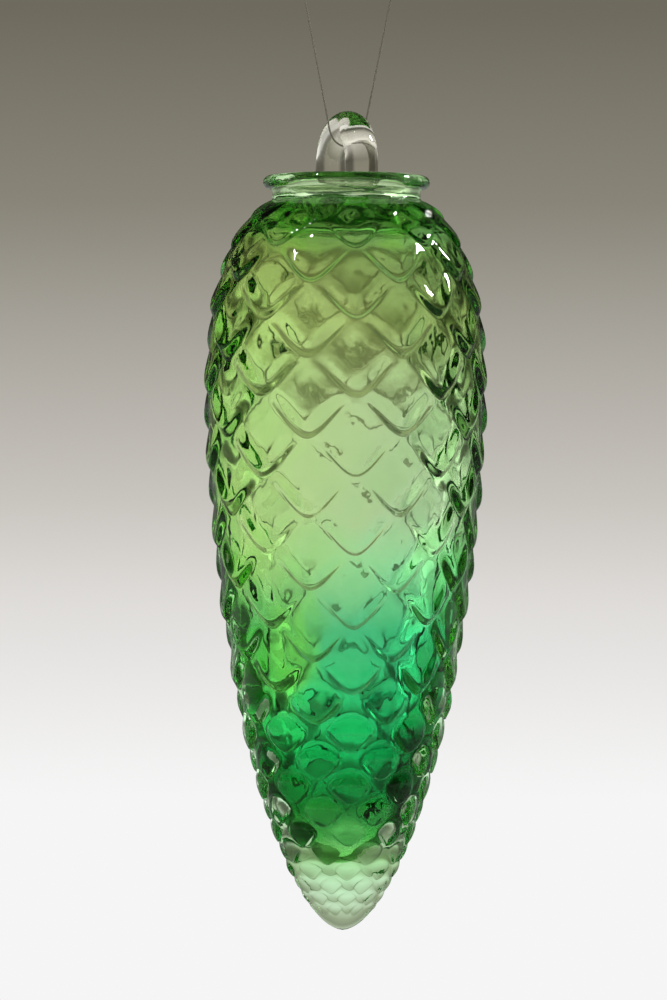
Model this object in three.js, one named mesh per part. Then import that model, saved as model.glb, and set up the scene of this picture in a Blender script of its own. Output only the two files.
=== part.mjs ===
// A blown glass pine cone ornament, hanging by a loop of clear fishing line.
// Millimetres, +Z up. The origin is the inside top of the line's loop, where the loop rests on a hook.
// The glass hanger's arch lies in the X-Z plane, and the line's V in the Y-Z plane.
import * as THREE from 'three';

// Pieces that are fused or that touch keep this between them
const gap = 0.3;

// Clear hanger: a pulled glass rod bent into an arch, with its feet down in the mouth
const rodDiameter = 7;
const archSpan = 14.5; // between the centres of the two legs
const archTopDrop = 40.8; // from the origin down to the rod's centre at the top of the arch
const archRise = 3; // from the rim plane up to the centre of the arch's bend
const legFootDepth = 0.9;

// Flared lip round the mouth. Depths are measured down from the rim plane, the top of the lip
const lipDiameter = 35;
const lipThickness = 2.6;
const lipHeight = 4.6;
const neckDiameter = 31;
const mouthBore = 26;
const mouthFlare = 2; // the mouth's extra radius at the rim

// Dollop of clear glass that closes the mouth and hangs down inside it
const dollopDiameter = 20;
const dollopDrop = 7;

// The cone's outside, over the tips of its scales
const coneDiameter = 60;
const widestDepth = 44;
const tipDepth = 158.2;
const shoulderPower = 2.3; // a higher power makes a squarer shoulder
const shoulderRoot = 0.625;
const taperPower = 1.68; // a higher power keeps the flanks full for longer
const taperRoot = 0.56; // 0.5 makes a round tip, 1 a sharp one

// Moulded scales, in rings staggered by half a scale
const scalesPerRing = 9;
const firstRingDepth = 10.2;
const ringSpacing = 0.275; // of the cone's radius at each ring
const reliefDepth = 1.3; // how far the tip of a scale stands out where the cone is widest
const stepHeight = 1.9; // from a scale's rounded edge down to the foot of the step below it
const flareHeight = 5.4; // over which a scale swells out to its edge
const flankLift = 0.1; // of the relief, where a scale starts to swell out
const fadeStart = 0.25; // across the half scale, its step fades from here to its corner
const fadeEnd = 0.9;
const tuck = 0.1; // how far below the tips above it a scale's corners start, of the ring spacing
const patternTurn = -26.6; // degrees about Z
const columnDrift = 6; // degrees by which the hand-worked columns crowd towards one side
const driftSide = -25; // degrees about Z
const columnsPerScale = 6;

// Glass walls: at the widest place, and at the tip, where blown glass gathers
const clearWall = 3.3; // under the valleys between the scales
const clearTip = 14.2;
const colourWall = 2.6;
const colourTip = 1.7;
// Where gravity drew the hot glass down, the walls' inner surfaces are this share narrower
const gatherShare = 0.24;
const gatherDepth = 101;
const gatherSpread = 30;

// Fishing line, one loop closed by a knot
const lineDiameter = 0.4;
const knotDiameter = 1.5;
const knotEnd = 0.6; // its diameter at both ends
const knotTaper = 0.45; // the length over which it widens
const knotLength = 2.2;
const knotPlace = [10.46, -11.2]; // y and z of its middle
const knotLean = 4.9; // degrees that the line leans inwards there, going down

// The line's centre, as y and z. The strands run from the knot down one side, under the arch and up the
// other side. The bight goes on over the hook and back to the knot.
const strandRoute = [
  [10.23, -12.69], [9.81, -14.6], [8.06, -22.6], [6.32, -30.6], [4.57, -38.6], [3.91, -41.65],
  [2.91, -43.55], [1.07, -44.65], [-1.07, -44.65], [-2.91, -43.55], [-3.91, -41.65], [-4.57, -38.6],
  [-6.32, -30.6], [-8.06, -22.6], [-9.81, -14.6], [-10.23, -12.69],
];
const bightRoute = [
  [-10.31, -12.29], [-10.5, -10.3], [-10.14, -7.58], [-9.09, -5.05], [-6.75, -2.26], [-3.59, -0.43],
  [0, 0.2], [3.59, -0.43], [6.75, -2.26], [9.09, -5.05], [10.14, -7.58], [10.49, -9.8],
];

const rodRadius = rodDiameter / 2;
const bendRadius = archSpan / 2;
const coneRadius = coneDiameter / 2;
const boreRadius = mouthBore / 2;
const rimZ = -archTopDrop - bendRadius - archRise;
const coneTopDepth = lipHeight + gap;

const clearGlass = { color: 0xdfe8e2, roughness: 0.05, metalness: 0 };
const greenGlass = { color: 0x4fb35e, roughness: 0.05, metalness: 0 };
const nylon = { color: 0xc9ccc4, roughness: 0.3, metalness: 0 };

function meshOf(name, geometry, material) {
  const mesh = new THREE.Mesh(geometry, new THREE.MeshStandardMaterial(material));
  mesh.name = name;
  return mesh;
}

// Turns a profile of radius and height about Z
function turned(points, segments) {
  return new THREE.LatheGeometry(points, segments).rotateX(Math.PI / 2);
}

// Sweeps a round section along a curve
function swept(curve, radius, sides, steps) {
  const section = new THREE.Shape(
    Array.from({ length: sides }, (_, i) => {
      const angle = (2 * Math.PI * i) / sides;
      return new THREE.Vector2(radius * Math.cos(angle), radius * Math.sin(angle));
    }),
  );
  return new THREE.ExtrudeGeometry(section, { extrudePath: curve, steps, bevelEnabled: false });
}

// The cone's surfaces share one form: a shoulder from the neck to the widest place, then a taper to the tip
const outside = { radius: coneRadius, neck: neckDiameter / 2, tip: tipDepth };
const clearInside = {
  radius: coneRadius - reliefDepth - clearWall,
  neck: boreRadius + gap,
  tip: tipDepth - clearTip,
  gather: gatherShare,
};
const colourOutside = inset(clearInside, gap, gap);
const colourInside = inset(colourOutside, colourWall, colourTip);

function inset({ radius, neck, tip, gather }, wall, tipWall) {
  return { radius: radius - wall, neck: neck - wall, tip: tip - tipWall, gather };
}

function radiusAt(depth, { radius, neck, tip, gather = 0 }) {
  if (depth < widestDepth) {
    const toNeck = Math.min(1, (widestDepth - depth) / (widestDepth - coneTopDepth));
    return neck + (radius - neck) * (1 - toNeck ** shoulderPower) ** shoulderRoot;
  }
  const toTip = Math.min(1, (depth - widestDepth) / (tip - widestDepth));
  const even = radius * (1 - toTip ** taperPower) ** taperRoot;
  const narrowed = gather * THREE.MathUtils.smoothstep(depth, widestDepth, gatherDepth);
  const below = Math.max(0, depth - gatherDepth) / gatherSpread;
  return even * (1 - narrowed * Math.exp(-(below ** 2)));
}

// Depths from the mouth to the tip of a surface, closer together near both
function depthsDown({ tip }, count) {
  return Array.from({ length: count + 1 }, (_, i) => {
    const share = (1 - Math.cos((Math.PI * i) / count)) / 2;
    return coneTopDepth + (tip - coneTopDepth) * share;
  });
}

function profileDown(surface, count) {
  return depthsDown(surface, count).map(
    (depth) => new THREE.Vector2(radiusAt(depth, surface), rimZ - depth),
  );
}

// Depths of the scales' tips, ring by ring
function ringDepths() {
  const depths = [];
  const last = tipDepth - 2 * reliefDepth;
  for (let depth = firstRingDepth; depth < last; depth += ringSpacing * radiusAt(depth, outside)) {
    depths.push(depth);
  }
  return depths;
}

// Clear outer gather: scales outside and a smooth wall inside, open at the neck
function clearCasing() {
  const columns = scalesPerRing * columnsPerScale;
  const half = columnsPerScale / 2;
  const rings = [];

  const angles = Array.from({ length: columns }, (_, column) => {
    const even = patternTurn + (360 * column) / columns;
    const drift = columnDrift * Math.cos(THREE.MathUtils.degToRad(even - driftSide));
    return THREE.MathUtils.degToRad(even + drift);
  });
  const addRing = (surface, depthAt, liftAt) => {
    rings.push(angles.map((angle, column) => {
      const depth = depthAt(column);
      const full = radiusAt(depth, surface);
      const sunk = liftAt ? ((reliefDepth * full) / coneRadius) * (1 - liftAt(column)) : 0;
      return [(full - sunk) * Math.cos(angle), (full - sunk) * Math.sin(angle), rimZ - depth];
    }));
  };

  // Where a column stands across half a scale: 0 at its tip, 1 at its corner
  const across = (column, ring) => {
    const along = (column + (ring % 2 ? 0 : half)) % columnsPerScale;
    return Math.min(along, columnsPerScale - along) / half;
  };

  addRing(outside, () => coneTopDepth, () => 0);
  const tips = ringDepths();
  // The foot of the step under a ring's scales rises from their tips to their corners
  const foot = (column, ring) => {
    if (ring < 0) {
      return coneTopDepth;
    }
    const above = ring ? tips[ring - 1] : coneTopDepth;
    const rise = (tips[ring] - above) * (1 - tuck);
    return tips[ring] - rise * THREE.MathUtils.smoothstep(across(column, ring), 0, 1);
  };
  tips.forEach((tip, ring) => {
    const size = radiusAt(tip, outside) / coneRadius;
    const length = (column) => foot(column, ring) - foot(column, ring - 1);
    const step = (column) => Math.min(stepHeight * size, 0.45 * length(column));
    const flare = (column) => Math.min(flareHeight * size, 0.7 * (length(column) - step(column)));
    const edge = (column) => foot(column, ring) - step(column);
    const crest = (column) => 1 - THREE.MathUtils.smoothstep(across(column, ring), fadeStart, fadeEnd);
    addRing(outside, (column) => edge(column) - flare(column), (column) => flankLift * crest(column));
    addRing(outside, edge, crest);
    addRing(outside, (column) => foot(column, ring), () => 0);
  });
  const lastOutside = rings.length - 1;
  depthsDown(clearInside, 24).slice(0, -1).reverse()
    .forEach((depth) => addRing(clearInside, () => depth));

  const points = rings.flat();
  const outerTip = points.push([0, 0, rimZ - tipDepth]) - 1;
  const innerTip = points.push([0, 0, rimZ - clearInside.tip]) - 1;
  const faces = [];
  rings.forEach((_, ring) => {
    const next = (ring + 1) % rings.length;
    for (let column = 0; column < columns; column++) {
      const beside = (column + 1) % columns;
      const [a, b] = [ring * columns + column, ring * columns + beside];
      const [c, d] = [next * columns + beside, next * columns + column];
      if (ring === lastOutside) {
        faces.push(a, outerTip, b, d, c, innerTip);
      } else {
        faces.push(a, d, c, a, c, b);
      }
    }
  });
  const geometry = new THREE.BufferGeometry();
  geometry.setAttribute('position', new THREE.Float32BufferAttribute(points.flat(), 3));
  geometry.setIndex(faces);
  geometry.computeVertexNormals();
  return meshOf('clear_casing', geometry, clearGlass);
}

// Green gather inside the casing, open at the neck
function colourBubble() {
  const outer = profileDown(colourOutside, 24).reverse();
  const inner = profileDown(colourInside, 20);
  return meshOf('colour_bubble', turned([...outer, ...inner], 36), greenGlass);
}

// Flared lip with a rolled edge, on top of the casing's neck
function neckLip() {
  const bead = lipThickness / 2;
  const beadRadius = lipDiameter / 2 - bead;
  const neck = neckDiameter / 2;
  const section = new THREE.Path();
  section.moveTo(boreRadius, rimZ - lipHeight);
  section.lineTo(neck, rimZ - lipHeight);
  section.quadraticCurveTo(neck, rimZ - lipThickness, beadRadius, rimZ - lipThickness);
  section.absarc(beadRadius, rimZ - bead, bead, -Math.PI / 2, Math.PI / 2);
  section.lineTo(boreRadius + mouthFlare, rimZ);
  section.quadraticCurveTo(boreRadius, rimZ, boreRadius, rimZ - lipThickness);
  section.closePath();
  return meshOf('neck_lip', turned(section.getPoints(4), 40), clearGlass);
}

// Clear dollop in the mouth, with a flange on the mouth's edge
function hangerSeal() {
  const top = rimZ - legFootDepth - gap;
  const flange = rimZ - lipHeight;
  const edge = boreRadius - gap;
  const drop = new THREE.EllipseCurve(0, flange, dollopDiameter / 2, dollopDrop, -Math.PI / 2, 0);
  const points = [
    ...drop.getPoints(7),
    new THREE.Vector2(edge, flange),
    new THREE.Vector2(edge, top),
    new THREE.Vector2(0, top),
  ];
  return meshOf('hanger_seal', turned(points, 36), clearGlass);
}

// Up one leg, round the bend and down the other leg, at an even speed
class ArchCurve extends THREE.Curve {
  getPoint(share, target = new THREE.Vector3()) {
    const leg = archRise + legFootDepth;
    const bend = Math.PI * bendRadius;
    const along = share * (2 * leg + bend);
    const centreZ = rimZ + archRise;
    if (along < leg) {
      return target.set(-bendRadius, 0, centreZ - leg + along);
    }
    if (along > leg + bend) {
      return target.set(bendRadius, 0, centreZ - (along - leg - bend));
    }
    const angle = (along - leg) / bendRadius;
    return target.set(-bendRadius * Math.cos(angle), 0, centreZ + bendRadius * Math.sin(angle));
  }
}

function hangerLoop() {
  return meshOf('hanger_loop', swept(new ArchCurve(), rodRadius, 14, 24), clearGlass);
}

// A stretch of the line along a route of y and z
function line(name, route, steps) {
  const curve = new THREE.CatmullRomCurve3(route.map(([y, z]) => new THREE.Vector3(0, y, z)));
  return meshOf(name, swept(curve, lineDiameter / 2, 8, steps), nylon);
}

// The knot's turns round the line, as one barrel
function lineKnot() {
  const end = knotLength / 2;
  const profile = [
    [0, -end], [knotEnd / 2, -end], [knotDiameter / 2, knotTaper - end],
    [knotDiameter / 2, end - knotTaper], [knotEnd / 2, end], [0, end],
  ];
  const knot = meshOf('line_knot', turned(profile.map(([x, y]) => new THREE.Vector2(x, y)), 10), nylon);
  knot.position.set(0, ...knotPlace);
  knot.rotation.x = THREE.MathUtils.degToRad(knotLean);
  return knot;
}

const ornament = new THREE.Group();
ornament.add(
  colourBubble(),
  clearCasing(),
  neckLip(),
  hangerSeal(),
  hangerLoop(),
  line('line_strands', strandRoute, 52),
  line('line_top_bight', bightRoute, 26),
  lineKnot(),
);

export default ornament;
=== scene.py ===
import math

import bmesh
import bpy
import numpy as np
from mathutils import Quaternion, Matrix, Vector


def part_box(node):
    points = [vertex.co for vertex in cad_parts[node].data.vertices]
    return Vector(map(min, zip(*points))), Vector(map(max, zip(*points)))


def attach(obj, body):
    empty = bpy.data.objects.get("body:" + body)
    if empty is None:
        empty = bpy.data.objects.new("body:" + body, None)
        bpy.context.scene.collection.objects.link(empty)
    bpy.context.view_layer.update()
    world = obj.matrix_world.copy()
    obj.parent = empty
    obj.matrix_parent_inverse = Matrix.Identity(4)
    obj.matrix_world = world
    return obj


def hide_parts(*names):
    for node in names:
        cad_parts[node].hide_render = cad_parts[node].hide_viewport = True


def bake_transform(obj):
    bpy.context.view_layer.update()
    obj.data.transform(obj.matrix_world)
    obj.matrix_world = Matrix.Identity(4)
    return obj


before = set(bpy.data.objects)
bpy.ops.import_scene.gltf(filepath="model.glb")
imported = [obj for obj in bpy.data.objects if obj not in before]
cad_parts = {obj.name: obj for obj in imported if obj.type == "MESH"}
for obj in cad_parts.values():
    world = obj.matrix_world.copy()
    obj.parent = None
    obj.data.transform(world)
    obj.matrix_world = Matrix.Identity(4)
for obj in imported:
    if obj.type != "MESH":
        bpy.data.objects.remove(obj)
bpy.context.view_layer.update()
mm = 0.001
print("frame loaded")


# camera: level, at the side of the hanger's arch that the photograph shows
cameraSetup = {
    "azimuth": 65,  # degrees, 0 looks along +Y
    "height": -0.119,
    "distance": 1.0,
    "viewHeight": 0.210,  # of the object's plane, from the top of the picture to its foot
    "axisOffset": 0.0024,  # the ornament hangs this far right of the picture's middle
    "lean": 0.3,  # degrees by which it leans in the picture, tip to the left
    "sensor": 36,
}

turn = math.radians(cameraSetup["azimuth"])
towardsCamera = Vector((math.sin(turn), -math.cos(turn), 0))
rightOfCamera = Vector((math.cos(turn), math.sin(turn), 0))


def makeCamera():
    c = cameraSetup
    data = bpy.data.cameras.new("camera")
    data.sensor_width = c["sensor"]
    data.lens = c["sensor"] * c["distance"] / c["viewHeight"]
    camera = bpy.data.objects.new("camera", data)
    camera.location = (
        towardsCamera * c["distance"] - rightOfCamera * c["axisOffset"] + Vector((0, 0, c["height"]))
    )
    view = (-towardsCamera).to_track_quat("-Z", "Y") @ Quaternion((0, 0, 1), math.radians(c["lean"]))
    camera.rotation_euler = view.to_euler()
    bpy.context.collection.objects.link(camera)
    bpy.context.scene.camera = camera


makeCamera()
print("camera ready")


# small helpers
def toLinear(code):
    code = code.lstrip("#")
    channels = [int(code[i : i + 2], 16) / 255 for i in (0, 2, 4)]
    return [c / 12.92 if c <= 0.04045 else ((c + 0.055) / 1.055) ** 2.4 for c in channels] + [1]


def addNode(tree, kind, settings=None, inputs=None, links=None):
    node = tree.nodes.new(kind)
    for name, value in (settings or {}).items():
        setattr(node, name, value)
    for name, value in (inputs or {}).items():
        node.inputs[name].default_value = value
    for name, source in (links or {}).items():
        tree.links.new(source, node.inputs[name])
    return node


def addRamp(tree, stops, source):
    node = addNode(tree, "ShaderNodeValToRGB", links={"Fac": source})
    elements = node.color_ramp.elements
    elements[0].position, elements[1].position = stops[0][0], stops[-1][0]
    elements[0].color, elements[1].color = toLinear(stops[0][1]), toLinear(stops[-1][1])
    for position, code in stops[1:-1]:
        elements.new(position).color = toLinear(code)
    return node


def newMaterial(name):
    material = bpy.data.materials.new(name)
    material.use_nodes = True
    material.node_tree.nodes.clear()
    return material, material.node_tree


def finishMaterial(tree, shader, **more):
    addNode(tree, "ShaderNodeOutputMaterial", links={"Surface": shader, **more})


def newObject(name, bm, materials, smooth=True):
    mesh = bpy.data.meshes.new(name)
    bm.to_mesh(mesh)
    bm.free()
    for material in materials:
        mesh.materials.append(material)
    mesh.polygons.foreach_set("use_smooth", [smooth] * len(mesh.polygons))
    piece = bpy.data.objects.new(name, mesh)
    bpy.context.collection.objects.link(piece)
    return piece


# a profile of radius and height, turned round the z axis
def spinProfile(profile, steps):
    bm = bmesh.new()
    verts = [bm.verts.new((r, 0, z)) for r, z in profile]
    edges = [bm.edges.new(pair) for pair in zip(verts, verts[1:])]
    bmesh.ops.spin(
        bm, geom=verts + edges, cent=(0, 0, 0), axis=(0, 0, 1), angle=2 * math.pi, steps=steps,
        use_merge=True,
    )
    bmesh.ops.remove_doubles(bm, verts=bm.verts, dist=1e-6)
    bmesh.ops.recalc_face_normals(bm, faces=bm.faces)
    return bm


# nylon fishing line: clear extruded monofilament, a bright core between dark sides
lineSetup = {
    "diameter": 0.4 * mm,
    "length": 0.108,
    "sides": 12,
    "knotTurns": 5,
    "knotRadius": 0.5 * mm,
    "knotPlace": (0, 10.46, -11.2),
    "knotLean": 4.9,  # degrees
    "tagLength": 2.4 * mm,
    "bendStart": -12.2,  # between these two heights the line bends where it leaves the hook
    "bendEnd": -13.6,
}

# y and z of the line's centre in mm: from the knot down one side, under the glass arch, up the other
# side and over the hook back to the knot
lineRoute = [
    (10.36, -12.1), (10.23, -12.69), (9.81, -14.6), (8.06, -22.6), (6.32, -30.6), (4.57, -38.6),
    (3.91, -41.65), (2.91, -43.55), (1.07, -44.65), (-1.07, -44.65), (-2.91, -43.55), (-3.91, -41.65),
    (-4.57, -38.6), (-6.32, -30.6), (-8.06, -22.6), (-9.81, -14.6), (-10.23, -12.69), (-10.31, -12.29),
    (-10.5, -10.3), (-10.14, -7.58), (-9.09, -5.05), (-6.75, -2.26), (-3.59, -0.43), (0, 0.2),
    (3.59, -0.43), (6.75, -2.26), (9.09, -5.05), (10.14, -7.58), (10.49, -9.8), (10.5, -10.3),
]


def lineMaterial():
    material, tree = newMaterial("clearNylonMonofilament")
    shader = addNode(
        tree, "ShaderNodeBsdfPrincipled",
        inputs={
            "Base Color": toLinear("#8a867a"),
            "Roughness": 0.15,
            "IOR": 1.53,
            "Transmission Weight": 0.75,
        },
    )
    finishMaterial(tree, shader.outputs["BSDF"])
    return material


# points along a Catmull-Rom curve through the given ones
def smoothRoute(points, perStep):
    p = [Vector(q) for q in points]
    p = [2 * p[0] - p[1], *p, 2 * p[-1] - p[-2]]
    path = []
    for a, b, c, d in zip(p, p[1:], p[2:], p[3:]):
        t1 = (b - a).length ** 0.5
        t2 = t1 + (c - b).length ** 0.5
        t3 = t2 + (d - c).length ** 0.5
        for i in range(perStep):
            t = t1 + (t2 - t1) * i / perStep
            ab = a * ((t1 - t) / t1) + b * (t / t1)
            bc = b * ((t2 - t) / (t2 - t1)) + c * ((t - t1) / (t2 - t1))
            cd = c * ((t3 - t) / (t3 - t2)) + d * ((t - t2) / (t3 - t2))
            abc = ab * ((t2 - t) / t2) + bc * (t / t2)
            bcd = bc * ((t3 - t) / (t3 - t1)) + cd * ((t - t1) / (t3 - t1))
            path.append(abc * ((t2 - t) / (t2 - t1)) + bcd * ((t - t1) / (t2 - t1)))
    path.append(p[-2])
    return path


# a capped tube round the path, drawn ring by ring
def sweepTube(path, radius, sides):
    bm = bmesh.new()
    ring = bmesh.ops.create_circle(bm, cap_ends=True, radius=radius, segments=sides)["verts"]
    heading = (path[1] - path[0]).normalized()
    place = Matrix.Translation(path[0]) @ heading.to_track_quat("Z", "X").to_matrix().to_4x4()
    bmesh.ops.transform(bm, matrix=place, verts=ring)
    face = next(iter(bm.faces))
    for here, there, after in zip(path, path[1:], path[2:] + [2 * path[-1] - path[-2]]):
        onward = (after - here).normalized()
        swing = heading.rotation_difference(onward).to_matrix().to_4x4()
        moved = bmesh.ops.extrude_face_region(bm, geom=[face])["geom"]
        verts = [g for g in moved if isinstance(g, bmesh.types.BMVert)]
        step = Matrix.Translation(there) @ swing @ Matrix.Translation(-here)
        bmesh.ops.transform(bm, matrix=step, verts=verts)
        bmesh.ops.delete(bm, geom=[face], context="FACES_ONLY")
        face = next(g for g in moved if isinstance(g, bmesh.types.BMFace))
        heading = onward
    bmesh.ops.contextual_create(bm, geom=[e for e in bm.edges if e.is_boundary])
    bmesh.ops.recalc_face_normals(bm, faces=bm.faces)
    return bm


def makeLine():
    s = lineSetup
    nylon = lineMaterial()
    path = smoothRoute([(0, y * mm, z * mm) for y, z in lineRoute], 6)
    line = newObject("hanging_line", sweepTube(path, s["diameter"] / 2, s["sides"]), [nylon])

    # the knot's turns wind round the line, and its two ends stand off
    turns, radius = s["knotTurns"], s["knotRadius"]
    rise = s["diameter"] * 1.04
    wound = []
    for i in range(turns * 12 + 1):
        angle = 2 * math.pi * i / 12
        height = rise * (i / 12 - turns / 2)
        wound.append(Vector((radius * math.cos(angle), radius * math.sin(angle), height)))
    near = Vector((0.1, -0.4, -0.1)) * s["tagLength"] * 0.6
    far = Vector((0.5, -1, -0.35)) * s["tagLength"] * 0.8
    wound = [wound[0] + far, wound[0] + near] + wound
    wound += [wound[-1] - near, wound[-1] - far]
    lean = Matrix.Rotation(math.radians(s["knotLean"]), 4, "X")
    knot = newObject("line_knot_turns", sweepTube(smoothRoute(wound, 3), s["diameter"] / 2, 8), [nylon])
    knot.data.transform(Matrix.Translation(Vector(s["knotPlace"]) * mm) @ lean)

    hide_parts("line_strands", "line_top_bight")
    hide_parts("line_knot")
    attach(knot, "line_top")
    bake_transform(line)


makeLine()
print("line ready")


# cone of glass: sizes in mm, depths below the rim of the lip
cone = {
    "radius": 30,
    "neck": 15.5,  # radius under the lip
    "top": 4.9,  # depth at which the scales begin
    "widest": 44,
    "tip": 158.2,
    "shoulderPower": 2.3,  # how full the shoulder and the taper are
    "shoulderRoot": 0.625,
    "taperPower": 1.68,
    "taperRoot": 0.56,
}
scales = {
    "perRing": 9,
    "firstRing": 10.2,
    "spacing": 0.275,  # of the cone's radius
    "relief": 1.3,
    "tuck": 0.1,  # share of a ring by which a scale's corners stop short of the ring above
    "turn": -26.6,  # degrees by which the whole pattern is turned
    "drift": 6,  # degrees by which the columns crowd together at driftSide
    "driftSide": -25,
    "nose": 1.9,  # height of the step below a scale's edge
    "flare": 5.4,  # height over which a scale swells out to its edge, less on the front
    "flareFront": 3.6,
    "softFrom": 52,  # the relief of the front is softer from here, fully between the next two depths
    "softFull": 72,
    "softLast": 98,
    "softTo": 108,
    "softness": 0.72,
    "softEverywhere": 0.52,
    "softBack": 0.55,
    "backFade": 0.35,  # on the back the steps fade sooner, so that only the scales' tips show through
    "sideNose": 0.75,  # on the flanks the steps are higher
    "softTop": 0.85,  # above the depth softTopTo
    "softTopTo": 15,
    "fadeStart": 0.25,  # across the half scale, the step fades from here to its corner
    "fadeEnd": 0.9,
    "keel": 0.1,  # a soft ridge down a scale's middle
    "domeFrom": 95,  # scales turn into round bumps between these depths
    "domeTo": 122,
    "domeHeight": 1.45,  # of the relief, and domeFront more on the front
    "domeFront": 0.5,
    "domeBase": 0.1,
    "tipSoft": 0.1,  # the bumps get lower towards the tip
    "tipFrom": 134,
    "tipTo": 148,
    "unevenDepth": 0.45,  # hand-made differences between scales: in their tips' places and in relief
    "unevenRelief": 0.16,
    "columns": 26,  # of the mesh, across a scale
    "slopeRings": 7,
    "noseRings": 5,
}
walls = {
    "clear": 3.3,  # under the scales' valleys, and at the tip
    "clearTip": 14.2,
    "gap": 0.3,  # between the clear and the green gather
    "green": 2.6,
    "greenTip": 1.7,
    "gather": 0.24,  # share by which the inner walls narrow where the hot glass sank down
    "gatherDepth": 101,
    "gatherSpread": 30,
    "tipWeak": 0.87,  # share by which the solid tip bends the light less, fully below tipWeakTo
    "tipWeakFrom": 137,
    "tipWeakTo": 147,
    "wave": 0.008,  # share of the radius by which low waves move the inside
    # waves round the cone, how they turn with the height, their start and their share
    "waves": [(2, 0.11, 0, 1), (3, -0.19, 1.7, 0.7), (5, 0.31, 4, 0.5)],
    "echo": 0.3,  # height of the scales' soft echo on the inside
    "point": 0.12,  # the inner walls end in a softer point
    "pointLength": 16,
    "hollowTop": 9.6,  # the hollow's domed top, down to hollowFull
    "hollowFull": 15,
    # lumps of the dollop on that top: right of the camera's axis, in front, width and drop
    "lumps": [(1.5, 2, 3.2, 3.4), (-5, 4, 1.8, 2), (6, 3.5, 2, 1.8), (-1, -6, 2.4, 2), (-9, 0, 2, 1.7),
              (9, -2, 2.1, 1.6), (-3.5, 8, 1.7, 1.6), (4.5, 8.5, 1.8, 1.6), (-12, 5, 1.8, 1.6),
              (12, 4, 1.8, 1.6), (-8, 10, 1.6, 1.4), (9.5, 9, 1.6, 1.4), (0.5, 12, 1.8, 1.4)],
    "bore": 13,  # radius of the mouth
    "greenNeck": 1.3,
    "shoulderFill": 1.6,  # extra glass inside the shoulder
    "fillDepth": 11,
    "fillSpread": 5,
}
lip = {"radius": 17.5, "thickness": 2.6, "height": 4.6, "flare": 2}

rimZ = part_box("neck_lip")[1][2] / mm


def smoothStep(value, start, end):
    t = np.clip((value - start) / (end - start), 0, 1)
    return t * t * (3 - 2 * t)


# radius of a smooth wall at a depth: a bulging shoulder, then a taper to the tip
def radiusAt(depth, radius, neck, tip, gather=0, fill=0, point=0):
    c = cone
    depth = np.asarray(depth, float)
    toNeck = np.clip((c["widest"] - depth) / (c["widest"] - c["top"]), 0, 1)
    toTip = np.clip((depth - c["widest"]) / (tip - c["widest"]), 0, 1)
    shoulder = neck + (radius - neck) * (1 - toNeck ** c["shoulderPower"]) ** c["shoulderRoot"]
    below = np.maximum(depth - walls["gatherDepth"], 0) / walls["gatherSpread"]
    narrowed = gather * smoothStep(depth, c["widest"], walls["gatherDepth"]) * np.exp(-(below**2))
    end = np.clip(1 - (tip - depth) / walls["pointLength"], 0, 1)
    taper = radius * (1 - toTip ** c["taperPower"]) ** c["taperRoot"] * (1 - narrowed) * (1 - point * end**2)
    smooth = np.where(depth < c["widest"], shoulder, taper)
    return smooth - fill * np.exp(-(((depth - walls["fillDepth"]) / walls["fillSpread"]) ** 2))


outside = {"radius": cone["radius"], "neck": cone["neck"], "tip": cone["tip"]}
clearInside = {
    "radius": cone["radius"] - scales["relief"] - walls["clear"],
    "neck": walls["bore"] + walls["gap"],
    "tip": cone["tip"] - walls["clearTip"],
    "gather": walls["gather"],
    "point": walls["point"],
}


def inset(surface, wall, tipWall):
    return {
        "radius": surface["radius"] - wall,
        "neck": surface["neck"] - wall,
        "tip": surface["tip"] - tipWall,
        "gather": walls["gather"],
        "point": walls["point"],
    }


greenOutside = inset(clearInside, walls["gap"], walls["gap"])
greenInside = inset(greenOutside, walls["green"], walls["greenTip"])
greenInside["neck"] = greenOutside["neck"] - walls["greenNeck"]
greenInside["fill"] = walls["shoulderFill"]


# radius and height down a smooth wall, in metres, closer together near its ends
def wallPoints(surface, count):
    share = (1 - np.cos(np.linspace(0, math.pi, count + 1))) / 2
    depth = cone["top"] + (surface["tip"] - cone["top"]) * share
    radius = radiusAt(depth, **surface)
    radius[-1] = 0
    return [(r * mm, (rimZ - d) * mm) for r, d in zip(radius, depth)]


# depths of the scales' tips, ring by ring
ringDepths = [cone["top"], scales["firstRing"]]
while ringDepths[-1] < cone["tip"] - 2 * scales["relief"]:
    ringDepths.append(ringDepths[-1] + scales["spacing"] * float(radiusAt(ringDepths[-1], **outside)))
ringDepths[-1] = cone["tip"]
ringDepths = np.array(ringDepths)
chance = np.random.default_rng(5)
uneven = chance.uniform(-1, 1, (2, len(ringDepths), scales["perRing"]))


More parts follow.
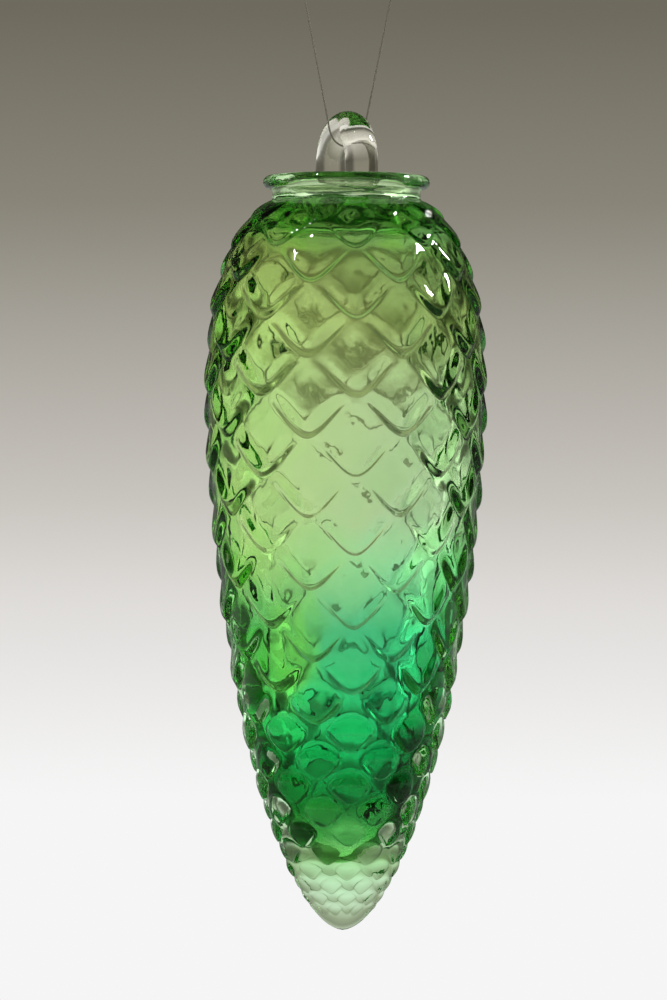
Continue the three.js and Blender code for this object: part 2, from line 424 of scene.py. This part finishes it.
# moves the vertices of the smooth cone into the scales that the mould pressed
def mouldScales(mesh):
    s = scales
    co = np.empty(len(mesh.vertices) * 3)
    mesh.vertices.foreach_get("co", co)
    co = co.reshape(-1, 3) / mm
    depth = rimZ - co[:, 2]
    radius = np.hypot(co[:, 0], co[:, 1])
    angle = np.degrees(np.arctan2(co[:, 1], co[:, 0]))
    onCone = (depth > cone["top"] + 0.01) & (radius > radiusAt(depth, **outside) - 0.05)

    ring = np.clip(np.searchsorted(ringDepths, depth) - 1, 0, len(ringDepths) - 2)
    share = (depth - ringDepths[ring]) / (ringDepths[ring + 1] - ringDepths[ring])

    def places(k):  # round the cone, counted in scales
        return angle * s["perRing"] / 360 + np.where(k % 2 == 1, 0.5, 0)

    def upEdge(k):  # 0 at the middle of ring k's scales, 1 at their corners
        return np.abs(places(k) - np.round(places(k))) * 2

    def differ(k, which):  # each scale's own difference
        return uneven[which, k, np.round(places(k)).astype(int) % s["perRing"]]

    def edgeDepth(k):
        rise = ringDepths[k] - ringDepths[np.maximum(k - 1, 0)]
        whole = (k > 0) & (k < len(ringDepths) - 1)
        toCorner = smoothStep(upEdge(k), 0, 1)
        moved = s["unevenDepth"] * differ(k, 0) * rise / 8 * (1 - toCorner)
        return ringDepths[k] + np.where(whole, moved - rise * (1 - s["tuck"]) * toCorner, 0)

    high, low = edgeDepth(ring), edgeDepth(ring + 1)
    turned = angle + s["turn"]
    turned = np.radians(turned + s["drift"] * np.cos(np.radians(turned - s["driftSide"])))
    towards = np.cos(turned - math.atan2(towardsCamera.y, towardsCamera.x))
    facing = towards**4
    band = smoothStep(low, s["softFrom"], s["softFull"]) * (1 - smoothStep(low, s["softLast"], s["softTo"]))
    soft = (s["softness"] * band + s["softEverywhere"] * (1 - band)) * (0.1 + 0.9 * facing)
    upper = 1 - smoothStep(low, s["softTopTo"] - 3, s["softTopTo"] + 3)
    soft += (s["softTop"] - soft) * upper * facing
    soft = np.where(towards < 0, soft + (s["softBack"] - soft) * facing, soft)
    size = np.maximum(radiusAt(low, **outside) / cone["radius"], 0.2)
    cell = low - high
    nose = s["nose"] * size * (1 - 0.75 * soft) * (1 + s["sideNose"] * (1 - facing))
    nose = np.minimum(nose, 0.45 * cell)
    split = s["slopeRings"] / (s["slopeRings"] + s["noseRings"])
    down = np.clip(share / split, 0, 1)
    over = np.clip((share - split) / (1 - split), 0, 1)
    newDepth = high + (cell - nose) * down + nose * over
    across = upEdge(ring + 1)
    fade = s["backFade"] * np.where(towards < 0, facing, 0)
    crest = 1 - smoothStep(across, s["fadeStart"] - fade, s["fadeEnd"] - fade)
    swell = np.where(towards > 0, s["flare"] + (s["flareFront"] - s["flare"]) * facing, s["flare"])
    toRidge = (cell - nose) * (1 - down) / (swell * size)
    flare = 0.1 * down + 0.9 * (1 - smoothStep(toRidge, 0, 1))
    keel = s["keel"] * np.exp(-((across / 0.16) ** 2)) * np.sin(math.pi * down) ** 2
    lift = np.where(over > 0, 1 - smoothStep(over, 0, 1), flare) * crest * (1 - soft) + keel * (over == 0)
    # low down each scale is a round bump
    pitch = ringDepths[ring + 1] - ringDepths[ring]
    dome = smoothStep(newDepth, s["domeFrom"], s["domeTo"])
    upright = (newDepth - ringDepths[ring] - 0.5 * pitch) / np.maximum(0.75 * pitch, 0.1)
    nearTip = smoothStep(newDepth, s["tipFrom"], s["tipTo"])
    hump = np.clip(1 - across**2 * (1.9 - 0.9 * nearTip) - upright**2, 0, 1) ** (0.75 + 0.9 * nearTip)
    bump = (s["domeHeight"] + s["domeFront"] * facing) * hump - s["domeBase"]
    lift = (lift * (1 - dome) + bump * dome) * (1 + s["unevenRelief"] * differ(ring + 1, 1))
    lift *= 1 - s["tipSoft"] * nearTip
    last = ring == len(ringDepths) - 2
    lift = np.where(last, 0.5 * np.sin(math.pi * share), lift)
    newDepth = np.where(last, high + cell * share, newDepth)
    full = radiusAt(newDepth, **outside)
    newRadius = full - s["relief"] * np.maximum(full / cone["radius"], 0.12) * (1 - lift)
    newRadius = np.where(radius < 0.01, 0, np.maximum(newRadius, 0))

    radius = np.where(onCone, newRadius, radius)
    depth = np.where(onCone, newDepth, depth)
    co = np.stack([radius * np.cos(turned), radius * np.sin(turned), rimZ - depth], 1) * mm
    mesh.vertices.foreach_set("co", co.ravel())
    mesh.update()


# radius and height round the lip, from the foot of the neck outside to the foot of the bore inside
def lipPoints():
    bead = lip["thickness"] / 2
    beadRadius = lip["radius"] - bead
    foot = np.array([cone["neck"], lip["height"]])
    points = []
    for t in np.linspace(0, 1, 9):  # neck's hollow, as a quadratic curve
        bend = np.array([cone["neck"], lip["thickness"]])
        rim = np.array([beadRadius, lip["thickness"]])
        points.append((1 - t) ** 2 * foot + 2 * t * (1 - t) * bend + t * t * rim)
    for a in np.linspace(-math.pi / 2, math.pi / 2, 13)[1:]:
        points.append(np.array([beadRadius + bead * math.cos(a), bead - bead * math.sin(a)]))
    for t in np.linspace(0, 1, 11):
        rim = np.array([walls["bore"] + lip["flare"], 0.0])
        bend = np.array([walls["bore"], 0.0])
        bore = np.array([walls["bore"], lip["thickness"]])
        points.append((1 - t) ** 2 * rim + 2 * t * (1 - t) * bend + t * t * bore)
    return [(r * mm, (rimZ - d) * mm) for r, d in points]


# glass
# tint of the clear glass by height: greener in the thick lip, where the green is a painted reflection of the
# green body below it, and from where the solid tip begins
clearTint = [(0.0, "#d2ecc4"), (0.029, "#d2ecc4"), (0.034, "#fbfdfb"), (0.865, "#fbfdfb"), (0.9, "#c4e8b8"),
             (0.94, "#e0f4e0"), (1.0, "#e6f6e4")]
casingBody = {"colour": (0.4, 0.88, 0.38, 1), "density": 28}
ripples = {"scale": 210, "height": 0.15}  # left by the cool mould, about 5 mm apart


# clear glass; the face attribute "fused" is 1 where it doesn't bend the light, because it is fused to
# more glass there, and partly so at the solid tip
def glassMaterial(name):
    material, tree = newMaterial(name)
    fused = addNode(tree, "ShaderNodeAttribute", {"attribute_name": "fused"})
    bend = addNode(
        tree, "ShaderNodeMapRange", inputs={"To Min": 1.5, "To Max": 1.0},
        links={"Value": fused.outputs["Fac"]},
    )
    shader = addNode(
        tree, "ShaderNodeBsdfPrincipled",
        inputs={"Base Color": toLinear("#cccbc0"), "Roughness": 0.0, "Transmission Weight": 1.0},
        links={"IOR": bend.outputs["Result"]},
    )
    return material, tree, shader


def casingMaterial():
    # faintly green glass, which shows where it is seen edge on
    material, tree, shader = glassMaterial("clearMouldBlownGlass")
    place = addNode(tree, "ShaderNodeTexCoord")
    parts = addNode(tree, "ShaderNodeSeparateXYZ", links={"Vector": place.outputs["Object"]})
    height = addNode(
        tree, "ShaderNodeMapRange",
        inputs={"From Min": rimZ * mm, "From Max": (rimZ - cone["tip"]) * mm},
        links={"Value": parts.outputs["Z"]},
    )
    # greener at the lip: a painted reflection of the green glass below it
    tint = addRamp(tree, clearTint, height.outputs["Result"])
    tree.links.new(tint.outputs["Color"], shader.inputs["Base Color"])
    noise = addNode(
        tree, "ShaderNodeTexNoise", inputs={"Scale": ripples["scale"], "Detail": 2, "Roughness": 0.5},
        links={"Vector": place.outputs["Object"]},
    )
    ripple = addNode(
        tree, "ShaderNodeBump", inputs={"Strength": 1.0, "Distance": ripples["height"] * mm},
        links={"Height": noise.outputs["Fac"]},
    )
    tree.links.new(ripple.outputs["Normal"], shader.inputs["Normal"])
    body = addNode(
        tree, "ShaderNodeVolumeAbsorption",
        inputs={"Color": casingBody["colour"], "Density": casingBody["density"]},
    )
    finishMaterial(tree, shader.outputs["BSDF"], Volume=body.outputs["Volume"])
    return material


def hangerMaterial():
    # clear rod, a little grey, so that it stands out from the pale light behind it
    material, tree, shader = glassMaterial("clearPulledGlassRod")
    finishMaterial(tree, shader.outputs["BSDF"])
    return material


greenBody = {"colour": (0.45, 0.82, 0.3, 1), "density": 200}

# tint of the green where it is fused to the clear glass, by height: olive, pale lime, emerald, nearly clear.
# the first colour is for the side on the left of the photograph, which is yellower, the second for the right
greenTint = [
    (0.05, "#ccbbaa", "#bbbbcc"),
    (0.075, "#dddd99", "#ccddcc"),
    (0.1, "#ccbb88", "#aabb88"),
    (0.14, "#ddcc99", "#999977"),
    (0.2, "#ffeebb", "#ccbb99"),
    (0.3, "#ffeecc", "#eedddd"),
    (0.46, "#ffeecc", "#eeddee"),
    (0.52, "#eeeebb", "#bbeeee"),
    (0.6, "#88ccaa", "#44ccbb"),
    (0.69, "#55eeaa", "#22bb99"),
    (0.76, "#22cc77", "#11bb88"),
    (0.83, "#118833", "#115533"),
    (0.87, "#55aa66", "#559966"),
    (0.9, "#ccddcc", "#ccdddd"),
    (1.0, "#eeffee", "#eeeeff"),
]
greenHalfWidth = 0.02  # metres from the middle to where the tint is all of one side
# patches of another tint, one over the other, placed to the right of the camera's axis and by height: a
# yellower streak low down on the left, painted shade on both lower flanks as the camera sees them, and
# painted highlights of lime glass under the lip, for light gathered in the dollop's lobes
tintAndPaintedLightPatches = [
    {"colour": "#b4e83c", "right": -10.5, "z": -150, "halfWidth": 6.5, "halfHeight": 17, "most": 0.5},
    # painted shade: darker glass on the lower flanks, left and right of the camera's axis
    {"colour": "#0c5424", "right": -12.5, "z": -178, "halfWidth": 5, "halfHeight": 13, "most": 0.7},
    {"colour": "#04340f", "right": 11.5, "z": -176, "halfWidth": 5.5, "halfHeight": 15, "most": 0.75},
    # painted highlights: lime glass under the lip, where the dollop's lobes gather light
    {"colour": "#d8ff78", "right": -11, "z": -61.5, "halfWidth": 5, "halfHeight": 5, "most": 0.6},
    {"colour": "#d8ff78", "right": 11, "z": -61.5, "halfWidth": 5, "halfHeight": 5, "most": 0.6},
]


def greenMaterial():
    # the ornament's colour: tinted on its outside, and deeper where the eye looks along the wall
    material, tree = newMaterial("greenBlownGlass")
    place = addNode(tree, "ShaderNodeTexCoord")
    parts = addNode(tree, "ShaderNodeSeparateXYZ", links={"Vector": place.outputs["Object"]})
    height = addNode(
        tree, "ShaderNodeMapRange",
        inputs={"From Min": rimZ * mm, "From Max": (rimZ - cone["tip"]) * mm},
        links={"Value": parts.outputs["Z"]},
    )
    aside = addNode(
        tree, "ShaderNodeVectorMath", {"operation": "DOT_PRODUCT"}, {1: tuple(rightOfCamera)},
        {0: place.outputs["Object"]},
    )
    across = addNode(
        tree, "ShaderNodeMapRange",
        inputs={"From Min": -greenHalfWidth, "From Max": greenHalfWidth},
        links={"Value": aside.outputs["Value"]},
    )
    leftTint = addRamp(tree, [(h, left) for h, left, right in greenTint], height.outputs["Result"])
    rightTint = addRamp(tree, [(h, right) for h, left, right in greenTint], height.outputs["Result"])
    both = addNode(
        tree, "ShaderNodeMix", {"data_type": "RGBA"},
        links={0: across.outputs["Result"], 6: leftTint.outputs["Color"], 7: rightTint.outputs["Color"]},
    )
    spot = addNode(tree, "ShaderNodeCombineXYZ", links={"X": aside.outputs["Value"], "Y": parts.outputs["Z"]})
    # some of these tints are painted shade and painted highlights, mixed over the glass's colour
    for patch in tintAndPaintedLightPatches:
        wide, high = patch["halfWidth"], patch["halfHeight"]
        apart = addNode(
            tree, "ShaderNodeVectorMath", {"operation": "MULTIPLY_ADD"},
            {1: (1 / wide / mm, 1 / high / mm, 0), 2: (-patch["right"] / wide, -patch["z"] / high, 0)},
            {0: spot.outputs[0]},
        )
        apart = addNode(tree, "ShaderNodeVectorMath", {"operation": "LENGTH"}, links={0: apart.outputs[0]})
        inside = addNode(
            tree, "ShaderNodeMapRange", {"interpolation_type": "SMOOTHSTEP"},
            {"From Min": 1.0, "From Max": 0.3, "To Min": 0.0, "To Max": patch["most"]},
            {"Value": apart.outputs["Value"]},
        )
        both = addNode(
            tree, "ShaderNodeMix", {"data_type": "RGBA"}, {7: toLinear(patch["colour"])},
            {0: inside.outputs["Result"], 6: both.outputs[2]},
        )
    # light is bent where the glass meets the air inside, not where it is fused to the clear glass
    hollowSide = addNode(tree, "ShaderNodeAttribute", {"attribute_name": "hollowSide"})
    bend = addNode(
        tree, "ShaderNodeMapRange", inputs={"To Min": 1.0, "To Max": 1.5},
        links={"Value": hollowSide.outputs["Fac"]},
    )
    tint = addNode(
        tree, "ShaderNodeMix", {"data_type": "RGBA"}, {7: (1, 1, 1, 1)},
        {0: hollowSide.outputs["Fac"], 6: both.outputs[2]},
    )
    shader = addNode(
        tree, "ShaderNodeBsdfPrincipled",
        inputs={"Roughness": 0.0, "Transmission Weight": 1.0},
        links={"Base Color": tint.outputs[2], "IOR": bend.outputs["Result"]},
    )
    body = addNode(
        tree, "ShaderNodeVolumeAbsorption",
        inputs={"Color": greenBody["colour"], "Density": greenBody["density"]},
    )
    finishMaterial(tree, shader.outputs["BSDF"], Volume=body.outputs["Volume"])
    return material


def makeCasing():
    s = scales
    depths = []
    rings = s["slopeRings"] + s["noseRings"]
    for above, below in zip(ringDepths, ringDepths[1:]):
        depths += [above + (below - above) * (j + 0.5) / rings for j in range(rings)]
    outer = [(float(radiusAt(d, **outside)) * mm, (rimZ - d) * mm) for d in depths]
    profile = [(0, (rimZ - cone["tip"]) * mm)] + outer[::-1] + lipPoints() + wallPoints(clearInside, 40)
    bm = spinProfile(profile, s["perRing"] * s["columns"])
    casing = newObject("clear_glass_casing", bm, [casingMaterial()])
    mesh = casing.data
    fused = mesh.attributes.new("fused", "FLOAT", "FACE")
    for face in mesh.polygons:
        middle = face.center / mm
        depth = rimZ - middle.z
        inner = math.hypot(middle.x, middle.y) < radiusAt(depth, **clearInside) + 0.2
        inner = inner and cone["top"] < depth < clearInside["tip"] + 0.1
        atTip = walls["tipWeak"] * float(smoothStep(depth, walls["tipWeakFrom"], walls["tipWeakTo"]))
        fused.data[face.index].value = 1.0 if inner else atTip
    mouldScales(mesh)
    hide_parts("clear_casing", "neck_lip")
    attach(casing, "ornament")
    return casing


# radius and height round the hollow, from its domed top to its foot, in metres
def hollowPoints(count):
    top, full = walls["hollowTop"], walls["hollowFull"]
    share = (1 - np.cos(np.linspace(0, math.pi, count + 1))) / 2
    depth = top + (greenInside["tip"] - top) * share
    narrow = np.clip((full - depth) / (full - top), 0, 1)
    radius = radiusAt(depth, **greenInside) * (1 - narrow**2.2) ** 0.5
    radius[[0, -1]] = 0
    return [(r * mm, (rimZ - d) * mm) for r, d in zip(radius, depth)]


def makeBubble():
    bm = spinProfile([(0, (rimZ - cone["top"]) * mm)] + wallPoints(greenOutside, 70), 144)
    outerFaces = len(bm.faces)
    hollow = spinProfile(hollowPoints(200), 216)
    bmesh.ops.reverse_faces(hollow, faces=hollow.faces)
    # inside wall: a soft echo of the scales, low waves, and lumps of the melted dollop that bulge down
    place = np.array([vertex.co[:] for vertex in hollow.verts]) / mm
    depth = rimZ - place[:, 2]
    turned = np.arctan2(place[:, 1], place[:, 0])
    wave = np.zeros(len(place))
    for count, twist, begin, part in walls["waves"]:
        wave += part * np.sin(count * turned + twist * place[:, 2] + begin)
    own = turned - math.radians(scales["turn"])
    own -= math.radians(scales["drift"]) * np.cos(turned - math.radians(scales["driftSide"]))
    phase = np.interp(depth, ringDepths, np.arange(len(ringDepths)))
    echo = np.cos(scales["perRing"] * own) * np.cos(math.pi * (phase + 0.25))
    radius = np.hypot(place[:, 0], place[:, 1])
    echo *= walls["echo"] * smoothStep(depth, 16, 24) * np.clip(radius / 20, 0, 1)
    place[:, :2] *= (1 + walls["wave"] * wave + echo / np.maximum(radius, 1))[:, None]
    near = 1 - smoothStep(depth, walls["hollowTop"] + 2, walls["hollowFull"])
    right, front = place @ np.array(rightOfCamera), place @ np.array(towardsCamera)
    for lumpRight, lumpFront, width, drop in walls["lumps"]:
        apart = np.hypot(right - lumpRight, front - lumpFront) / width
        place[:, 2] -= drop * near * np.exp(-(apart**2))
    for vertex, moved in zip(hollow.verts, place * mm):
        vertex.co = moved
    mesh = bpy.data.meshes.new("hollow")
    hollow.to_mesh(mesh)
    hollow.free()
    bm.from_mesh(mesh)
    bpy.data.meshes.remove(mesh)
    bubble = newObject("green_glass_bubble", bm, [greenMaterial()])
    side = bubble.data.attributes.new("hollowSide", "FLOAT", "FACE")
    for face in bubble.data.polygons:
        side.data[face.index].value = 1.0 if face.index >= outerFaces else 0.0
    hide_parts("colour_bubble")
    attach(bubble, "ornament")
    return bubble


makeCasing()
makeBubble()
print("cone ready")


# hanger: an arch of glass rod whose feet melt into a dollop that closes the mouth
hanger = {
    "rod": 3.5,  # radius
    "span": 14.5,  # between the centres of the two legs
    "bendDepth": -3,
    "footDepth": 2.2,
    "sealTop": 1.2,
    "sealRadius": 12.7,
    "dollopRadius": 9.5,
    "dollopDrop": 6,
    # round lobes of the dollop: right of the camera, in front, depth and radius
    "lobes": [(-3.5, 3, 6.5, 3.4), (3.6, 4.2, 6.5, 3.2), (1.4, 1, 8, 3), (-6, -2, 6, 3), (6, -3, 7, 3)],
    "voxel": 0.4,
}


def makeHanger():
    h = hanger
    bm = bmesh.new()
    # half the arch: a round section spun a quarter turn from the top, then drawn down into the seal
    archZ = (rimZ - h["bendDepth"]) * mm
    bend = h["span"] / 2 * mm
    face = bmesh.ops.create_circle(bm, cap_ends=True, radius=h["rod"] * mm, segments=32)["verts"]
    toTop = Matrix.Translation((0, 0, archZ + bend)) @ Matrix.Rotation(math.pi / 2, 4, "Y")
    bmesh.ops.transform(bm, matrix=toTop, verts=face)
    start = list(bm.faces)
    bmesh.ops.spin(
        bm, geom=start + list(bm.edges) + face, cent=(0, 0, archZ), axis=(0, 1, 0), angle=math.pi / 2,
        steps=20,
    )
    end = max(bm.faces, key=lambda f: f.calc_center_median().x + (f.calc_area() > 3e-5))
    foot = bmesh.ops.extrude_face_region(bm, geom=[end])["geom"]
    down = (h["footDepth"] - h["bendDepth"]) * mm
    foot = [g for g in foot if isinstance(g, bmesh.types.BMVert)]
    bmesh.ops.translate(bm, vec=(0, 0, -down), verts=foot)
    bmesh.ops.delete(bm, geom=[end], context="FACES_ONLY")
    bmesh.ops.delete(bm, geom=start, context="FACES_ONLY")
    bmesh.ops.mirror(bm, geom=bm.verts[:] + bm.edges[:] + bm.faces[:], axis="X", merge_dist=1e-6)
    bmesh.ops.recalc_face_normals(bm, faces=bm.faces)

    # the dollop
    flange, top = lip["height"], h["sealTop"]
    a = [math.pi / 2 * i / 12 for i in range(13)]
    drop = [(h["dollopRadius"] * math.sin(t), flange + h["dollopDrop"] * math.cos(t)) for t in a]
    profile = drop + [(h["sealRadius"], flange), (h["sealRadius"], top), (0, top)]
    lathe = spinProfile([(r * mm, (rimZ - d) * mm) for r, d in profile], 64)
    mesh = bpy.data.meshes.new("dollop")
    lathe.to_mesh(mesh)
    lathe.free()
    bm.from_mesh(mesh)
    bpy.data.meshes.remove(mesh)
    for right, front, depth, radius in h["lobes"]:
        centre = (rightOfCamera * right + towardsCamera * front + Vector((0, 0, rimZ - depth))) * mm
        bmesh.ops.create_icosphere(bm, subdivisions=3, radius=radius * mm, matrix=Matrix.Translation(centre))

    piece = newObject("clear_glass_hanger", bm, [hangerMaterial()])
    remesh = piece.modifiers.new("fuse", "REMESH")
    remesh.mode = "VOXEL"
    remesh.voxel_size = h["voxel"] * mm
    remesh.use_smooth_shade = True
    smooth = piece.modifiers.new("flow", "SMOOTH")
    smooth.iterations = 6
    fused = piece.evaluated_get(bpy.context.evaluated_depsgraph_get())
    applied = bpy.data.meshes.new_from_object(fused)
    piece.modifiers.clear()
    piece.data = applied
    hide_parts("hanger_loop", "hanger_seal")
    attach(piece, "ornament")


makeHanger()
print("hanger ready")


# studio: pale floor, graded background, soft lamps
studio = {
    "floorDepth": 0.42,
    "floorRadius": 1.3,
    "floorColour": "#f2f1ef",
    "floorMirrored": "#5c5b58",
    "plainColour": "#f4f3f0",  # of the room's light on everything that isn't glass
    "plain": 1.1,
    # background by the sine of the elevation
    "sky": [(-1, "#f7f7f7"), (-0.06, "#f5f5f5"), (-0.02, "#dedbd8"), (0.0, "#c8c4be"), (0.06, "#8a867a"),
            (0.105, "#6c695c"), (0.3, "#7d796d"), (1.0, "#77746b")],
    # the same as seen through the glass, which gathers light from more of the room
    "gathered": [(-1, "#f7f7f7"), (-0.05, "#f5f5f5"), (0.0, "#d4d1cc"), (0.05, "#a8a498"),
                 (0.1, "#969288"), (0.2, "#b8b5ac"), (0.36, "#d6d3cc"), (1.0, "#eeece8")],
    # brightness of what the glass mirrors, and of what is seen through it
    "mirrored": 0.27,
    "behind": 1.15,
    # the same at the sides, by the sine of the elevation
    "sides": [(-1, "#fafafa"), (-0.085, "#fafafa"), (-0.05, "#dcdcdc"), (-0.01, "#b4b4b4"),
              (0.2, "#b0b0b0"), (0.4, "#ececec"), (1.0, "#f4f4f4")],
    "sideTimes": 4,  # the dimmer sides come this many times round
    "sideFrom": -0.3,  # and blend into the brightness behind between these two cosines
    "sideTo": 0.6,
    # more light at the far sides, from the left through the back to the right, below and well above
    # the level of the eye
    "farSides": [(0.0, "#a8a8a8"), (0.2, "#000000"), (0.8, "#000000"), (1.0, "#ffffff")],
    "farLevels": [(-1, "#ffffff"), (-0.06, "#ffffff"), (0.0, "#000000"), (0.1, "#000000"),
                  (0.25, "#ffffff"), (1.0, "#ffffff")],
    "farMost": 1.6,
}
lamps = {
    "topLamp": {"direction": (0.7, -0.2, 0.58), "distance": 0.9, "size": 0.17, "power": 9},
    "windowLamp": {"direction": (-0.45, 0.35, 0.8), "distance": 1.1, "size": 0.05, "power": 0.8},
}
lampTarget = Vector((0, 0, -0.12))


def makeStudio():
    bm = bmesh.new()
    bmesh.ops.create_circle(bm, cap_ends=True, radius=studio["floorRadius"], segments=96)
    bmesh.ops.translate(bm, vec=(0, 0, -studio["floorDepth"]), verts=bm.verts)
    # matt paper, darker where the glass mirrors it
    material, tree = newMaterial("paleBackgroundPaper")
    ray = addNode(tree, "ShaderNodeLightPath")
    mirrored = addNode(
        tree, "ShaderNodeMath", {"operation": "SUBTRACT", "use_clamp": True},
        links={0: ray.outputs["Is Glossy Ray"], 1: ray.outputs["Is Transmission Ray"]},
    )
    colour = addNode(
        tree, "ShaderNodeMix", {"data_type": "RGBA"},
        {6: toLinear(studio["floorColour"]), 7: toLinear(studio["floorMirrored"])},
        {0: mirrored.outputs[0]},
    )
    shader = addNode(
        tree, "ShaderNodeBsdfPrincipled", inputs={"Roughness": 0.9}, links={"Base Color": colour.outputs[2]}
    )
    finishMaterial(tree, shader.outputs["BSDF"])
    floor = newObject("floor", bm, [material], smooth=False)

    world = bpy.data.worlds.new("studio")
    bpy.context.scene.world = world
    world.use_nodes = True
    tree = world.node_tree
    tree.nodes.clear()
    place = addNode(tree, "ShaderNodeTexCoord")
    parts = addNode(tree, "ShaderNodeSeparateXYZ", links={"Vector": place.outputs["Generated"]})
    level = addNode(
        tree, "ShaderNodeMapRange", inputs={"From Min": -1, "From Max": 1},
        links={"Value": parts.outputs["Z"]},
    )

    def levelRamp(name):
        stops = [((sine + 1) / 2, code) for sine, code in studio[name]]
        return addRamp(tree, stops, level.outputs["Result"])

    sky, gathered, sides = levelRamp("sky"), levelRamp("gathered"), levelRamp("sides")
    seen = addNode(tree, "ShaderNodeBackground", links={"Color": sky.outputs["Color"]})
    plain = addNode(
        tree, "ShaderNodeBackground",
        inputs={"Color": toLinear(studio["plainColour"]), "Strength": studio["plain"]},
    )
    # what the glass bends into view from the sides is dimmer
    flat = addNode(
        tree, "ShaderNodeVectorMath", {"operation": "MULTIPLY"}, {1: (1, 1, 0)},
        {0: place.outputs["Generated"]},
    )
    heading = addNode(tree, "ShaderNodeVectorMath", {"operation": "NORMALIZE"}, links={0: flat.outputs[0]})
    behind = addNode(
        tree, "ShaderNodeVectorMath", {"operation": "DOT_PRODUCT"}, {1: tuple(-towardsCamera)},
        {0: heading.outputs[0]},
    )
    away = addNode(tree, "ShaderNodeMath", {"operation": "ARCCOSINE"}, links={0: behind.outputs["Value"]})
    manyfold = addNode(
        tree, "ShaderNodeMath", {"operation": "MULTIPLY"}, {1: studio["sideTimes"]}, {0: away.outputs[0]}
    )
    wave = addNode(tree, "ShaderNodeMath", {"operation": "COSINE"}, links={0: manyfold.outputs[0]})
    light = addNode(
        tree, "ShaderNodeMapRange", {"interpolation_type": "SMOOTHSTEP"},
        {"From Min": studio["sideFrom"], "From Max": studio["sideTo"], "To Max": studio["behind"]},
        {"Value": wave.outputs[0], "To Min": sides.outputs["Color"]},
    )
    right = addNode(
        tree, "ShaderNodeVectorMath", {"operation": "DOT_PRODUCT"}, {1: tuple(rightOfCamera)},
        {0: heading.outputs[0]},
    )
    right = addNode(
        tree, "ShaderNodeMapRange", inputs={"From Min": -1}, links={"Value": right.outputs["Value"]}
    )
    farSides = addRamp(tree, studio["farSides"], right.outputs["Result"])
    farLevels = levelRamp("farLevels")
    far = addNode(
        tree, "ShaderNodeMath", {"operation": "MULTIPLY"},
        links={0: farSides.outputs["Color"], 1: farLevels.outputs["Color"]},
    )
    light = addNode(
        tree, "ShaderNodeMath", {"operation": "MULTIPLY_ADD"}, {1: studio["farMost"]},
        {0: far.outputs[0], 2: light.outputs["Result"]},
    )
    through = addNode(
        tree, "ShaderNodeBackground",
        links={"Color": gathered.outputs["Color"], "Strength": light.outputs[0]},
    )
    ray = addNode(tree, "ShaderNodeLightPath")
    mirrored = addNode(
        tree, "ShaderNodeBackground", inputs={"Strength": studio["mirrored"]},
        links={"Color": sky.outputs["Color"]},
    )
    mix = addNode(
        tree, "ShaderNodeMixShader",
        links={0: ray.outputs["Is Camera Ray"], 1: plain.outputs[0], 2: seen.outputs[0]},
    )
    mix = addNode(
        tree, "ShaderNodeMixShader",
        links={0: ray.outputs["Is Glossy Ray"], 1: mix.outputs[0], 2: mirrored.outputs[0]},
    )
    mix = addNode(
        tree, "ShaderNodeMixShader",
        links={0: ray.outputs["Is Transmission Ray"], 1: mix.outputs[0], 2: through.outputs[0]},
    )
    addNode(tree, "ShaderNodeOutputWorld", links={"Surface": mix.outputs[0]})


def makeLamp(name, direction, distance, size, power):
    data = bpy.data.lights.new(name, "AREA")
    data.shape = "DISK"
    data.size = size
    data.energy = power
    lamp = bpy.data.objects.new(name, data)
    right, front, up = direction
    way = (rightOfCamera * right + towardsCamera * front + Vector((0, 0, up))).normalized()
    lamp.location = lampTarget + way * distance
    lamp.rotation_euler = way.to_track_quat("Z", "Y").to_euler()
    lamp.visible_transmission = False  # the lamps only shine on the glass, and leave no sparks inside it
    bpy.context.collection.objects.link(lamp)


makeStudio()
for lampName, lampSetup in lamps.items():
    makeLamp(lampName, **lampSetup)

scene = bpy.context.scene
scene.view_settings.view_transform = "Standard"
scene.cycles.max_bounces = 20
scene.cycles.transmission_bounces = 20
scene.cycles.glossy_bounces = 16
scene.cycles.transparent_max_bounces = 16
print("studio ready")
